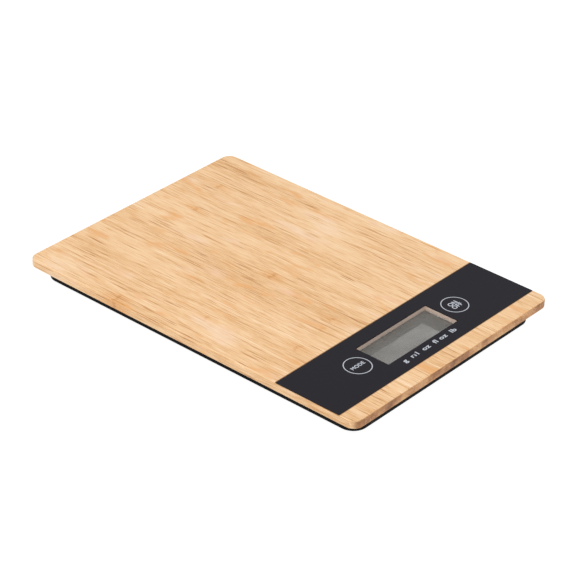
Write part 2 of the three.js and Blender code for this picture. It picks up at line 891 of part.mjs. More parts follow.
function boardScrew({ x, y }) {
  const size = {
    headRadius: boardScrewHeadRadius,
    headHeight: boardScrewHeadHeight,
    shank: boardScrewShank,
    length: circuitThickness + boardScrewGrip,
  };
  const upright = screwUp(size, 0, 0, 0);
  return upright.rotate([180, 0, 0]).translate(x, y, circuitTop + faceGap);
}

// ---- Assembly ----

function finish(color, roughness, metalness = 0) {
  return new THREE.MeshStandardMaterial({ color, roughness, metalness });
}

const scale = new THREE.Group();

function place(name, body, material) {
  const mesh = new THREE.Mesh(geometryOf(body), material);
  mesh.name = name;
  scale.add(mesh);
}

place("platform_board", platformBoard(), finish(0xeecb9b, 0.55));
place("panel_adhesive", panelAdhesive(), finish(0xd8d4c8, 0.8));
place("panel_overlay", panelOverlay(), finish(0x2c2b30, 0.3));
place("window_lens", windowLens(), finish(0xe6ecee, 0.05));
place("main_board", mainBoard(), finish(0x1f6b3a, 0.5));
place("processor_blob", processorBlob(), finish(0x0d0d0e, 0.35));
place("lcd_glass", lcdGlass(), finish(0x8a8880, 0.2));
place("lcd_frame", lcdFrame(), finish(0xe8e6e0, 0.6));
place("zebra_strip_front", zebraStrip(-1), finish(0xc77f8a, 0.8));
place("zebra_strip_back", zebraStrip(1), finish(0xc77f8a, 0.8));
place("base_shell", baseShell(), finish(0x151416, 0.55));

for (const [key, side] of [["unit", -1], ["tare", 1]]) {
  place(key + "_key_face", keyFace(side * keyX), finish(0x2c2b30, 0.3));
  place(key + "_key_plunger", keyPlunger(side * keyX), finish(0xdedcd6, 0.5));
  place(key + "_switch_stem", switchStem(side * keyX), finish(0x1a1a1c, 0.5));
  place(key + "_switch_body", switchBody(side * keyX), finish(0x2a2a2d, 0.5));
}

place("battery_door", batteryDoor(), finish(0x151416, 0.55));
place("battery_holder", batteryHolder(), finish(0x222224, 0.6));
place("coin_cell", coinCell(), finish(0xc9cacc, 0.25, 1));
place("positive_contact", positiveContact(), finish(0xc8c2b0, 0.3, 1));
place("negative_contact", negativeContact(), finish(0xc8c2b0, 0.3, 1));
place("positive_lead", batteryLead(1), finish(0xb3201d, 0.5));
place("negative_lead", batteryLead(-1), finish(0x161616, 0.5));

for (const corner of corners) {
  place("load_cell_" + corner.name, loadCell(corner), finish(0xb9bcc0, 0.35, 1));
  place("strain_gauge_" + corner.name, strainGauge(corner), finish(0xd9a441, 0.5));
  place("load_cell_carrier_" + corner.name, loadCellCarrier(corner), finish(0xe4e2dc, 0.6));
  place("foot_cap_" + corner.name, footCap(corner), finish(0x1b1a1c, 0.5));
  place("foot_pad_" + corner.name, footPad(corner), finish(0x3a3a3c, 0.9));
  place("sensor_lead_" + corner.name, sensorLead(corner), finish(0xd9d4cc, 0.5));
  place("base_screw_" + corner.name, baseScrew(corner), finish(0xaeb1b5, 0.35, 1));
}

boardScrewPlaces.forEach((spot, i) => {
  place("board_screw_" + (i + 1), boardScrew(spot), finish(0xaeb1b5, 0.35, 1));
});

export default scale;
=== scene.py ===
"""The looks of a slim kitchen scale: a bamboo board with a flush black panel over a shallow black base.

Everything is in metres in the CAD frame: X across the scale, Y from the display end to the back, Z up.
Finer pieces stand for the board, panel film, key faces, base, door, feet, screws and coin cell. Every other
node keeps its CAD shape, and all of them get a finish here.
"""
import json
import math

import bpy
from mathutils import Matrix, Vector


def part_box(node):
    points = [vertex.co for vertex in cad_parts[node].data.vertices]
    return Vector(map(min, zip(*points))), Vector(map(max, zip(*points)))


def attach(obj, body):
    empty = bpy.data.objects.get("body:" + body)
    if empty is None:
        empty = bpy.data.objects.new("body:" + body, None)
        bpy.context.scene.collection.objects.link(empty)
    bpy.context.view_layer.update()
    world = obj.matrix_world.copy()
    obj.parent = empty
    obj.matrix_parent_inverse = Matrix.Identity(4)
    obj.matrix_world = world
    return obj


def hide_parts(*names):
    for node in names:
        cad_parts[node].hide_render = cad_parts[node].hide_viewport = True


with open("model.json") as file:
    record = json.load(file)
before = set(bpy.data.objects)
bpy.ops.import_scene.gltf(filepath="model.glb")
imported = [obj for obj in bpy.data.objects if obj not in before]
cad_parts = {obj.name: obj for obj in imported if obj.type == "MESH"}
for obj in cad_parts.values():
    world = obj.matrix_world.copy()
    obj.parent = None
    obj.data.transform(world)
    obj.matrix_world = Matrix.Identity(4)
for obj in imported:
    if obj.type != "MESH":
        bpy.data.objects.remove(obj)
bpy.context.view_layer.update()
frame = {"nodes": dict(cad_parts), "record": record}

MM = 0.001

# ---- Camera and light ----

VIEW_TARGET = Vector((-7.627, -7.486, 14.7)) * MM
VIEW_DISTANCE = 1318.57 * MM
VIEW_AZIMUTH = math.radians(-50.147)
VIEW_ELEVATION = math.radians(31.669)
VIEW_ROLL = math.radians(2.007)
SENSOR_MM = 36
LENS_MM = 155.977

SKY_STRENGTH = 0.55
SKY_COLOUR = (1.0, 1.0, 1.0)
SOFTBOX_SIZE = 1.4
SOFTBOX_POWER = 16
SOFTBOX_PLACE = Vector((-0.45, -0.05, 1.5))
UNDERLIGHT_POWER = 26
UNDERLIGHT_PLACE = Vector((0.7, -0.6, -1.1))
DISPLAY_SUN_ELEVATION = math.radians(12.5)
DISPLAY_SUN_AZIMUTH = math.radians(58)
DISPLAY_SUN_STRENGTH = 1.6
DISPLAY_SUN_WIDTH = math.radians(1.5)
FLOOR_SIZE = 8.0
FLOOR_ALBEDO = 0.15
FLOOR_GLOW = 0.97

# ---- Sizes of the finer pieces that the frame's boxes don't give ----

BOARD_CORNER = 6 * MM
BOARD_TOP_EASE = 1 * MM
BOARD_BOTTOM_EASE = 0.6 * MM
LENS_PLAY = 0.1 * MM
KEY_HOLE_PLAY = 0.05 * MM
PANEL_PLAY = 0.25 * MM
FILM_EDGE = 0.08 * MM
FILM_CORNER = 0.4 * MM
KEY_PLAY = 0.2 * MM
KEY_WELL_DEPTH = 2.5 * MM
KEY_STEM_HOLE = 2.2 * MM
POCKET_PLAY = 0.5 * MM
FACE_GAP = 0.03 * MM
PILOT_RADIUS = 1.14 * MM
PILOT_DEPTH = 3.3 * MM

RING_INNER = 7.1 * MM
RING_OUTER = 7.6 * MM
INK_THICKNESS = 0.02 * MM
CAPITAL_SHARE = 0.73
LINE_SPACING = 0.78
LETTER_SPACING = 1.08
LETTER_WEIGHT = 0.035
MODE_HEIGHT = 2.4 * MM
POWER_HEIGHT = 2.9 * MM
UNITS_HEIGHT = 2.9 * MM
UNITS_WIDTH = 42.8 * MM
UNITS_FROM_FRONT = 6.2 * MM

BASE_CORNER = 8.5 * MM
BASE_WALL = 1.6 * MM
BASE_FLOOR = 1.6 * MM
BASE_EDGE = 0.4 * MM
FOOT_GAP = 0.4 * MM
SCREW_WELL_DEPTH = 3.4 * MM
SCREW_WELL_RADIUS = 2.6 * MM
SCREW_HOLE_RADIUS = 1.2 * MM
BOSS_RADIUS = 3.4 * MM
POST_RADIUS = 2.2 * MM
POST_HOLE_RADIUS = 0.94 * MM
POST_HOLE_DEPTH = 1.7 * MM
SEAT_WIDTH = 17.6 * MM
SEAT_OPENING = 15.5 * MM
BATTERY_WALL = 1 * MM
BATTERY_WALL_HEIGHT = 2.2 * MM
LABEL_WIDTH = 52 * MM
LABEL_LENGTH = 26 * MM
LABEL_CORNER = 2 * MM
LABEL_DEPTH = 0.25 * MM
LABEL_FROM_MIDDLE = 28 * MM
EJECTOR_RADIUS = 3 * MM
EJECTOR_DEPTH = 0.12 * MM
EJECTOR_PLACES = ((-30, 92), (30, 92), (-52, 10), (52, 10), (-30, -92), (30, -92))

CAP_RADIUS = 7.3 * MM
CAP_RIM = 0.7 * MM
CAP_BOTTOM = 0.9 * MM
CAP_TOP = 3.6 * MM
CAP_SOFTENING = 0.2 * MM
PAD_SEAT = 1.9 * MM
PAD_SOFTENING = 0.4 * MM
PAD_GROOVES = (1.6, 3.2, 4.8)
PAD_GROOVE_WIDTH = 0.5 * MM
PAD_GROOVE_DEPTH = 0.25 * MM
SHOULDER_RADIUS = 3 * MM
SHOULDER_PLAY = 0.05 * MM
STAKE_RADIUS = 1.4 * MM
STAKE_HEAD_RADIUS = 2.2 * MM
STAKE_HEAD_HEIGHT = 0.6 * MM
FOOT_TRAVEL = 0.3 * MM

DOOR_THICKNESS = 1.5 * MM
DOOR_GAP = 0.15 * MM
DOOR_CORNER = 0.8 * MM
DOOR_EDGE = 0.25 * MM
DOOR_TAB_REACH = 2 * MM
DOOR_TAB_WIDTH = 4 * MM
DOOR_TAB_THICKNESS = 1 * MM
DOOR_TAB_FROM_SIDE = 3 * MM
LATCH_WIDTH = 8 * MM
LATCH_LENGTH = 4 * MM
LATCH_SLOT = 0.8 * MM
GRIP_COUNT = 3
GRIP_START = 7 * MM
GRIP_STEP = 1.6 * MM
GRIP_RADIUS = 0.45 * MM
GRIP_RISE = 0.15 * MM
ARROW_START = 13.5 * MM
ARROW_LENGTH = 4 * MM
ARROW_DEPTH = 0.2 * MM
ARROW_SPREAD = 0.75

BASE_SCREW = {"head_radius": 2.4 * MM, "head_height": 1.6 * MM, "shank": 1.1 * MM}
BOARD_SCREW = {"head_radius": 1.9 * MM, "head_height": 1.2 * MM, "shank": 0.9 * MM}
SLOT_SHARE = 1.1
SLOT_DEPTH_SHARE = 0.55
BLADE_SHARE = 0.25
THREAD_PITCH_SHARE = 0.6
THREAD_ROOT_SHARE = 0.8
CELL_CRIMP = 0.3 * MM
CELL_CAP_INSET = 1.2 * MM
PLUS_LENGTH = 5 * MM
PLUS_WIDTH = 0.9 * MM
PLUS_DEPTH = 0.06 * MM

CORNER_STEPS = 16
EASE_STEPS = 8
ROUND_SIDES = 96
SMALL_SIDES = 48

CORNERS = ("front_left", "front_right", "back_left", "back_right")


# ---- Mesh helpers ----

def new_piece(name, vertices, faces):
    """A mesh object made of these corners and faces, in the scene."""
    mesh = bpy.data.meshes.new(name)
    mesh.from_pydata([tuple(v) for v in vertices], [], faces)
    mesh.update()
    piece = bpy.data.objects.new(name, mesh)
    bpy.context.scene.collection.objects.link(piece)
    return piece


def rounded_outline(width, length, radius, inset=0.0):
    """Points round a rectangle with rounded corners, drawn in by inset."""
    points = []
    for quarter, (side_x, side_y) in enumerate(((1, 1), (-1, 1), (-1, -1), (1, -1))):
        for i in range(CORNER_STEPS + 1):
            angle = (quarter + i / CORNER_STEPS) * math.pi / 2
            x = side_x * (width / 2 - radius) + (radius - inset) * math.cos(angle)
            y = side_y * (length / 2 - radius) + (radius - inset) * math.sin(angle)
            points.append((x, y))
    return points


def layered_plate(name, middle, width, length, radius, layers):
    """A rounded plate. Its layers are (inset, z): how far its outline is drawn in, at each height."""
    vertices = []
    faces = []
    for inset, z in layers:
        outline = rounded_outline(width, length, radius, inset)
        vertices += [(middle.x + x, middle.y + y, z) for x, y in outline]
    count = len(vertices) // len(layers)
    for layer in range(len(layers) - 1):
        start = layer * count
        for i in range(count):
            j = (i + 1) % count
            faces.append((start + i, start + j, start + count + j, start + count + i))
    faces.append(tuple(reversed(range(count))))
    faces.append(tuple(range(len(vertices) - count, len(vertices))))
    return new_piece(name, vertices, faces)


def eased_edge(radius, z, is_top):
    """Layers that round a bottom edge, from z up, or a top edge, up to z."""
    layers = []
    for i in range(EASE_STEPS + 1):
        angle = i / EASE_STEPS * math.pi / 2
        inset = radius * (1 - math.sin(angle))
        rise = radius * (1 - math.cos(angle))
        layers.append((inset, z - rise if is_top else z + rise))
    return layers[::-1] if is_top else layers


def slab(name, middle, width, length, low, high):
    """A plain block, used to cut a shape out of a finer piece."""
    corners = [(-1, -1), (1, -1), (1, 1), (-1, 1)]
    vertices = [
        (middle.x + x * width / 2, middle.y + y * length / 2, z) for z in (low, high) for x, y in corners
    ]
    faces = [(3, 2, 1, 0), (4, 5, 6, 7), (0, 1, 5, 4), (1, 2, 6, 5), (2, 3, 7, 6), (3, 0, 4, 7)]
    return new_piece(name, vertices, faces)


def revolved(name, profile, middle, sides=ROUND_SIDES, closed=False):
    """A round body about a vertical axis. Its profile is (radius, z) points, and closed makes it a ring."""
    vertices = []
    rings = []
    for radius, z in profile:
        count = sides if radius > 0 else 1
        rings.append(range(len(vertices), len(vertices) + count))
        for i in range(count):
            angle = 2 * math.pi * i / sides
            x = middle.x + radius * math.cos(angle)
            y = middle.y + radius * math.sin(angle)
            vertices.append((x, y, z))
    pairs = list(zip(rings, rings[1:]))
    if closed:
        pairs.append((rings[-1], rings[0]))
    faces = []
    for lower, upper in pairs:
        for i in range(sides):
            j = (i + 1) % sides
            if len(lower) == 1:
                faces.append((lower[0], upper[j], upper[i]))
            elif len(upper) == 1:
                faces.append((lower[i], lower[j], upper[0]))
            else:
                faces.append((lower[i], lower[j], upper[j], upper[i]))
    return new_piece(name, vertices, faces)


def rod(name, middle, radius, low, high, sides=ROUND_SIDES):
    """A plain round bar, used to cut a hole."""
    return revolved(name, [(0, low), (radius, low), (radius, high), (0, high)], middle, sides)


def reshape(piece, operation, tools):
    """Joins each tool to the piece or cuts it out, and removes the tools."""
    for tool in tools:
        modifier = piece.modifiers.new(operation, "BOOLEAN")
        modifier.operation = operation
        modifier.solver = "EXACT"
        modifier.object = tool
    bpy.context.view_layer.update()
    shown = piece.evaluated_get(bpy.context.evaluated_depsgraph_get())
    reshaped = bpy.data.meshes.new_from_object(shown)
    piece.modifiers.clear()
    piece.data = reshaped
    for tool in tools:
        bpy.data.objects.remove(tool)
    return piece


def carve(piece, *cutters):
    return reshape(piece, "DIFFERENCE", cutters)


def unite(piece, *others):
    return reshape(piece, "UNION", others)


def smooth(piece, sharp_degrees=32):
    """Shades round stretches smoothly, and keeps the large flat faces flat."""
    mesh = piece.data
    mesh.shade_smooth()
    mesh.set_sharp_from_angle(angle=math.radians(sharp_degrees))
    modifier = piece.modifiers.new("flat faces stay flat", "WEIGHTED_NORMAL")
    modifier.keep_sharp = True
    return piece


def middle_of(node):
    low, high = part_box(node)
    return (low + high) / 2


# ---- Finishes ----

def srgb(red, green, blue):
    """A colour as it looks on a screen, 0 to 255, as the linear colour that shaders take."""
    levels = [value / 255 for value in (red, green, blue)]
    linear = [v / 12.92 if v <= 0.04045 else ((v + 0.055) / 1.055) ** 2.4 for v in levels]
    return (*linear, 1.0)


class Finish:
    """A Principled material, with short calls for the nodes that feed it."""

    def __init__(self, name, colour, roughness, metallic=0.0):
        self.material = bpy.data.materials.new(name)
        self.material.use_nodes = True
        self.tree = self.material.node_tree
        self.shader = self.tree.nodes["Principled BSDF"]
        self.set("Base Color", colour)
        self.set("Roughness", roughness)
        self.set("Metallic", metallic)
        self.coordinates = self.add("ShaderNodeTexCoord")

    def set(self, socket, value):
        self.feed(self.shader.inputs[socket], value)

    def feed(self, socket, value):
        if isinstance(value, bpy.types.NodeSocket):
            self.tree.links.new(value, socket)
        else:
            socket.default_value = value

    def add(self, kind, **settings):
        node = self.tree.nodes.new(kind)
        for key, value in settings.items():
            setattr(node, key, value)
        return node

    def maths(self, operation, first, second=0.0):
        node = self.add("ShaderNodeMath", operation=operation)
        self.feed(node.inputs[0], first)
        self.feed(node.inputs[1], second)
        return node.outputs[0]

    def total(self, *values):
        result = values[0]
        for value in values[1:]:
            result = self.maths("ADD", result, value)
        return result

    def stretched(self, x, y, z):
        """Object coordinates, so many pattern units to the metre along each axis."""
        node = self.add("ShaderNodeVectorMath", operation="MULTIPLY")
        self.feed(node.inputs[0], self.coordinates.outputs["Object"])
        node.inputs[1].default_value = (x, y, z)
        return node.outputs[0]

    def axis(self, name):
        node = self.add("ShaderNodeSeparateXYZ")
        self.feed(node.inputs[0], self.coordinates.outputs["Object"])
        return node.outputs[name]

    def moved(self, vector, offset):
        node = self.add("ShaderNodeVectorMath", operation="ADD")
        self.feed(node.inputs[0], vector)
        self.feed(node.inputs[1], offset)
        return node.outputs[0]

    def noise(self, vector, detail=3.0, coarse=0.5):
        node = self.add("ShaderNodeTexNoise")
        self.feed(node.inputs["Vector"], vector)
        node.inputs["Scale"].default_value = 1.0
        node.inputs["Detail"].default_value = detail
        node.inputs["Roughness"].default_value = coarse
        return node.outputs["Fac"]

    def spread(self, value, low, high, start=0.0, end=1.0):
        """The value's stretch from low to high, mapped smoothly to start and end, and held beyond them."""
        node = self.add("ShaderNodeMapRange", interpolation_type="SMOOTHSTEP")
        self.feed(node.inputs["Value"], value)
        node.inputs["From Min"].default_value = low
        node.inputs["From Max"].default_value = high
        node.inputs["To Min"].default_value = start
        node.inputs["To Max"].default_value = end
        return node.outputs["Result"]

    def swing(self, value, amount):
        """How far a 0 to 1 pattern is from its middle, times amount."""
        return self.maths("MULTIPLY", self.maths("SUBTRACT", value, 0.5), amount)

    def ramp(self, value, stops):
        node = self.add("ShaderNodeValToRGB")
        self.feed(node.inputs["Fac"], value)
        elements = node.color_ramp.elements
        while len(elements) < len(stops):
            elements.new(0.5)
        for element, (place, colour) in zip(elements, stops):
            element.position = place
            element.color = colour
        return node.outputs["Color"]

    def blend(self, amount, first, second):
        node = self.add("ShaderNodeMix", data_type="RGBA")
        self.feed(node.inputs["Factor"], amount)
        self.feed(node.inputs[6], first)
        self.feed(node.inputs[7], second)
        return node.outputs[2]

    def bump(self, height, depth):
        node = self.add("ShaderNodeBump")
        node.inputs["Strength"].default_value = 1.0
        node.inputs["Distance"].default_value = depth
        self.feed(node.inputs["Height"], height)
        self.set("Normal", node.outputs["Normal"])


BAMBOO_STOPS = (
    (0.0, srgb(158, 100, 54)),
    (0.3, srgb(214, 160, 104)),
    (0.5, srgb(238, 195, 145)),
    (0.72, srgb(248, 211, 168)),
    (1.0, srgb(255, 231, 203)),
)
END_GRAIN_STOPS = (
    (0.0, srgb(116, 70, 36)),
    (0.35, srgb(166, 112, 66)),
    (0.6, srgb(198, 142, 90)),
    (1.0, srgb(228, 180, 126)),
)
# How far from the panel recess's edges the wood is darkened to brown.
RECESS_EDGE_WIDTH = 0.6 * MM
STRIPS_PER_METRE = 178
KNUCKLES_PER_METRE = 4.3


def recess_edge_brown(finish):
    """How brown the wood is at the two edges of the panel's recess, darkest right at the edges."""
    low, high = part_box("panel_overlay")
    from_middle = finish.maths("SUBTRACT", finish.axis("Y"), (low.y + high.y) / 2)
    edge = (high.y - low.y) / 2 + PANEL_PLAY
    away = finish.maths("ABSOLUTE", finish.maths("SUBTRACT", finish.maths("ABSOLUTE", from_middle), edge))
    near = finish.spread(away, 0.1 * MM, RECESS_EDGE_WIDTH, 0.75, 0.0)
    return finish.maths("MULTIPLY", near, finish.spread(finish.axis("Z"), low.z, high.z))


def painted_light_window_wall(finish):
    """Where the wall of the window's opening is painted pale: painted light that lifts the shade inside the
    opening.
    """
    low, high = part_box("window_lens")
    inside = []
    for name, start, end in (("X", low.x, high.x), ("Y", low.y, high.y)):
        from_middle = finish.maths("SUBTRACT", finish.axis(name), (start + end) / 2)
        edge = (end - start) / 2
        reach = finish.maths("ABSOLUTE", from_middle)
        inside.append(finish.spread(reach, edge + 0.5 * MM, edge + 1 * MM, 0.95, 0.0))
    return finish.maths("MULTIPLY", *inside)


def bamboo():
    """Pressed bamboo: narrow strips along Y, each with its own tone, fibres, streaks and knuckles."""
    finish = Finish("bamboo", srgb(240, 203, 155), 0.5)
    across = finish.maths("MULTIPLY", finish.axis("X"), STRIPS_PER_METRE)
    strips = finish.add("ShaderNodeTexVoronoi", voronoi_dimensions="1D")
    seams = finish.add("ShaderNodeTexVoronoi", voronoi_dimensions="1D", feature="DISTANCE_TO_EDGE")
    for node in (strips, seams):
        finish.feed(node.inputs["W"], across)
        node.inputs["Scale"].default_value = 1.0
        node.inputs["Randomness"].default_value = 0.75
    chances = finish.add("ShaderNodeSeparateColor")
    finish.feed(chances.inputs[0], strips.outputs["Color"])
    tone, shift, chance = chances.outputs

    # Each strip's pattern is moved along by a chance amount, so that nothing runs on over a seam.
    offset = finish.add("ShaderNodeCombineXYZ")
    finish.feed(offset.inputs["Y"], finish.maths("MULTIPLY", shift, 40.0))
    finish.feed(offset.inputs["Z"], finish.maths("MULTIPLY", tone, 20.0))
    fibres = finish.noise(finish.moved(finish.stretched(2300, 70, 2300), offset.outputs[0]), 4.0, 0.75)
    streaks = finish.noise(finish.moved(finish.stretched(420, 16, 420), offset.outputs[0]), 3.0, 0.55)
    dashes = finish.noise(finish.moved(finish.stretched(1500, 42, 1500), offset.outputs[0]), 1.0, 0.5)
    dash = finish.spread(dashes, 0.62, 0.7)
    pale = finish.spread(dashes, 0.3, 0.38, 1.0, 0.0)
    broad = finish.noise(finish.stretched(42, 14, 42), 3.0)
    seam = finish.spread(seams.outputs["Distance"], 0.0, 0.05, 1.0, 0.0)

    # A knuckle is a dark line across a strip with a warm stretch round it.
    along = finish.maths("MULTIPLY", finish.axis("Y"), KNUCKLES_PER_METRE)
    ragged = finish.swing(finish.noise(finish.stretched(900, 60, 900), 2.0), 0.03)
    turn = finish.maths("FRACT", finish.total(along, finish.maths("MULTIPLY", shift, 5.0), ragged))
    away = finish.maths("ABSOLUTE", finish.maths("SUBTRACT", turn, 0.5))
    plain = finish.spread(chance, 0.6, 0.95)
    line = finish.maths("MULTIPLY", finish.spread(away, 0.001, 0.007, 1.0, 0.0), plain)
    halo = finish.maths("MULTIPLY", finish.spread(away, 0.0, 0.06, 1.0, 0.0), plain)

    light = finish.total(
        0.52,
        finish.swing(tone, 0.1),
        finish.swing(fibres, 1.25),
        finish.swing(streaks, 0.32),
        finish.swing(broad, 0.35),
        finish.maths("MULTIPLY", dash, -0.3),
        finish.maths("MULTIPLY", pale, 0.2),
        finish.maths("MULTIPLY", seam, -0.06),
        finish.maths("MULTIPLY", line, -0.2),
        finish.maths("MULTIPLY", halo, -0.08),
    )
    face = finish.ramp(light, BAMBOO_STOPS)
    warmth = finish.total(
        finish.maths("MULTIPLY", halo, 0.4),
        finish.spread(finish.noise(finish.stretched(170, 50, 170), 2.0), 0.55, 0.75, 0.0, 0.7),
    )
    face = finish.blend(warmth, face, srgb(232, 168, 102))
    blush = finish.spread(finish.noise(finish.stretched(85, 26, 85), 2.0), 0.55, 0.75, 0.0, 0.45)
    face = finish.blend(blush, face, srgb(250, 222, 198))

    # Sawn ends show the strips' cut fibres as dots, darker than the faces.
    dots = finish.noise(finish.stretched(1900, 1900, 1900), 2.0)
    patches = finish.noise(finish.stretched(110, 110, 160), 3.0)
    end_light = finish.total(
        0.52,
        finish.swing(tone, 0.3),
        finish.swing(dots, 0.8),
        finish.swing(patches, 1.5),
        finish.maths("MULTIPLY", seam, -0.12),
    )
    end = finish.ramp(end_light, END_GRAIN_STOPS)
    facing = finish.add("ShaderNodeSeparateXYZ")
    finish.feed(facing.inputs[0], finish.coordinates.outputs["Normal"])
    endwise = finish.spread(finish.maths("ABSOLUTE", facing.outputs["Y"]), 0.45, 0.95)
    face = finish.blend(endwise, face, end)
    # The wall of the window's opening is painted pale here: painted light that lifts the shade inside the
    # opening.
    face = finish.blend(painted_light_window_wall(finish), face, srgb(244, 222, 208))
    # The wood is darkened to brown along the two edges of the panel's recess.
    finish.set("Base Color", finish.blend(recess_edge_brown(finish), face, srgb(112, 66, 38)))
    finish.set("Roughness", finish.spread(fibres, 0.3, 0.7, 0.44, 0.6))
    relief = finish.total(fibres, finish.maths("MULTIPLY", seam, -0.4))
    finish.bump(relief, 0.05 * MM)
    return finish.material


def panel_film():
    """Black film printed on its back: satin, with a faint orange-peel and handled patches."""
    finish = Finish("panel_film", srgb(32, 30, 36), 0.34)
    cloud = finish.noise(finish.stretched(45, 45, 45), 3.0)
    finish.set("Base Color", finish.blend(cloud, srgb(25, 23, 30), srgb(33, 31, 38)))
    finish.set("Roughness", finish.spread(cloud, 0.3, 0.7, 0.28, 0.44))
    finish.shader.inputs["Specular IOR Level"].default_value = 0.14
    finish.bump(finish.noise(finish.stretched(1300, 1300, 1300), 1.0), 0.004 * MM)
    return finish.material


def printed_ink():
    """Pale grey screen ink, slightly uneven where it lies on the film."""
    finish = Finish("printed_ink", srgb(190, 195, 205), 0.55)
    grain = finish.noise(finish.stretched(2500, 2500, 2500), 2.0)
    finish.set("Base Color", finish.blend(grain, srgb(176, 181, 192), srgb(204, 208, 216)))
    finish.set("Roughness", finish.spread(grain, 0.3, 0.7, 0.5, 0.65))
    return finish.material


def clear_window():
    """The window's clear acrylic. Only its own thin shine and tint are seen."""
    finish = Finish("clear_window", srgb(196, 200, 192), 0.06)
    finish.shader.inputs["Alpha"].default_value = 0.07
    wipe = finish.noise(finish.stretched(90, 400, 90), 2.0)
    finish.set("Roughness", finish.spread(wipe, 0.3, 0.7, 0.04, 0.12))
    return finish.material


def display_glass():
    """A blank reflective display: warm dark grey under a satin polariser, with a fine sparkle."""
    finish = Finish("lcd", srgb(138, 135, 125), 0.3)
    cloud = finish.noise(finish.stretched(60, 60, 60), 2.0)
    sparkle = finish.noise(finish.stretched(4200, 4200, 4200), 1.0)
    tone = finish.total(0.5, finish.swing(cloud, 0.25), finish.swing(sparkle, 0.8))
    finish.set("Base Color", finish.ramp(tone, ((0.0, srgb(61, 56, 53)), (1.0, srgb(75, 69, 66)))))
    finish.set("Roughness", finish.spread(cloud, 0.3, 0.7, 0.27, 0.33))
    return finish.material


def moulded(name, dark, light, roughness, grain=1800, depth=0.02, shine=0.5):
    """Moulded plastic: a spark-eroded texture, a slight drift of tone and worn, smoother patches."""
    finish = Finish(name, light, roughness)
    finish.shader.inputs["Specular IOR Level"].default_value = shine
    drift = finish.noise(finish.stretched(35, 35, 35), 3.0)
    texture = finish.noise(finish.stretched(grain, grain, grain), 2.0, 0.6)
    finish.set("Base Color", finish.blend(finish.spread(drift, 0.3, 0.7), dark, light))
    finish.set("Roughness", finish.total(roughness, finish.swing(drift, 0.2), finish.swing(texture, 0.15)))
    finish.bump(texture, depth * MM)
    return finish.material


def rubber(name, dark, light):
    """Soft rubber: matt, speckled with talc, with a fine moulded grain."""
    finish = Finish(name, light, 0.85)
    speckle = finish.spread(finish.noise(finish.stretched(1500, 1500, 1500), 3.0, 0.65), 0.45, 0.7)
    finish.set("Base Color", finish.blend(speckle, dark, light))
    finish.set("Roughness", finish.spread(speckle, 0.0, 1.0, 0.78, 0.95))
    finish.bump(finish.noise(finish.stretched(900, 900, 900), 3.0), 0.03 * MM)
    return finish.material


def brushed_metal(name, dark, light, roughness, stretch):
    """Rolled or turned metal: fine drawn lines along one axis and a duller drift of tone."""
    finish = Finish(name, light, roughness, 1.0)
    lines = finish.noise(finish.stretched(*stretch), 3.0, 0.6)
    drift = finish.noise(finish.stretched(120, 120, 120), 3.0)
    tone = finish.total(0.5, finish.swing(lines, 0.9), finish.swing(drift, 0.9))
    finish.set("Base Color", finish.ramp(tone, ((0.0, dark), (1.0, light))))
    finish.set("Roughness", finish.total(roughness, finish.swing(lines, 0.25), finish.swing(drift, 0.2)))
    finish.bump(lines, 0.006 * MM)
    return finish.material


def circuit_mask():
    """Green solder mask, with paler copper tracks showing through it as a fine grid of lines."""
    finish = Finish("circuit_board", srgb(20, 92, 50), 0.35)
    tracks = finish.add("ShaderNodeTexBrick", offset=0.5, squash=1.0)
    finish.feed(tracks.inputs["Vector"], finish.stretched(420, 420, 420))
    tracks.inputs["Color1"].default_value = srgb(18, 84, 44)
    tracks.inputs["Color2"].default_value = srgb(22, 96, 50)
    tracks.inputs["Mortar"].default_value = srgb(58, 138, 78)
    tracks.inputs["Scale"].default_value = 1.0
    tracks.inputs["Mortar Size"].default_value = 0.03
    finish.set("Base Color", tracks.outputs["Color"])
    weave = finish.noise(finish.stretched(1400, 1400, 1400), 1.0)
    finish.set("Roughness", finish.spread(weave, 0.3, 0.7, 0.28, 0.42))
    finish.bump(weave, 0.01 * MM)
    return finish.material


def gauge_foil():
    """A strain gauge: amber film over a fine copper meander."""
    finish = Finish("gauge_film", srgb(196, 128, 52), 0.3)
    waves = finish.add("ShaderNodeTexWave", bands_direction="Y", wave_profile="SAW")
    finish.feed(waves.inputs["Vector"], finish.stretched(300, 300, 300))
    waves.inputs["Scale"].default_value = 1.0
    stops = ((0.45, srgb(190, 118, 40)), (0.55, srgb(120, 66, 28)))
    finish.set("Base Color", finish.ramp(waves.outputs["Color"], stops))
    finish.set("Roughness", finish.spread(waves.outputs["Fac"], 0.0, 1.0, 0.25, 0.4))
    return finish.material


def backing_tape():
    """Double-sided tape: cloudy, with a paper-like grain."""
    finish = Finish("adhesive", srgb(214, 209, 196), 0.8)
    grain = finish.noise(finish.stretched(700, 700, 700), 4.0)
    finish.set("Base Color", finish.blend(grain, srgb(200, 194, 180), srgb(226, 222, 210)))
    finish.bump(grain, 0.01 * MM)
    return finish.material


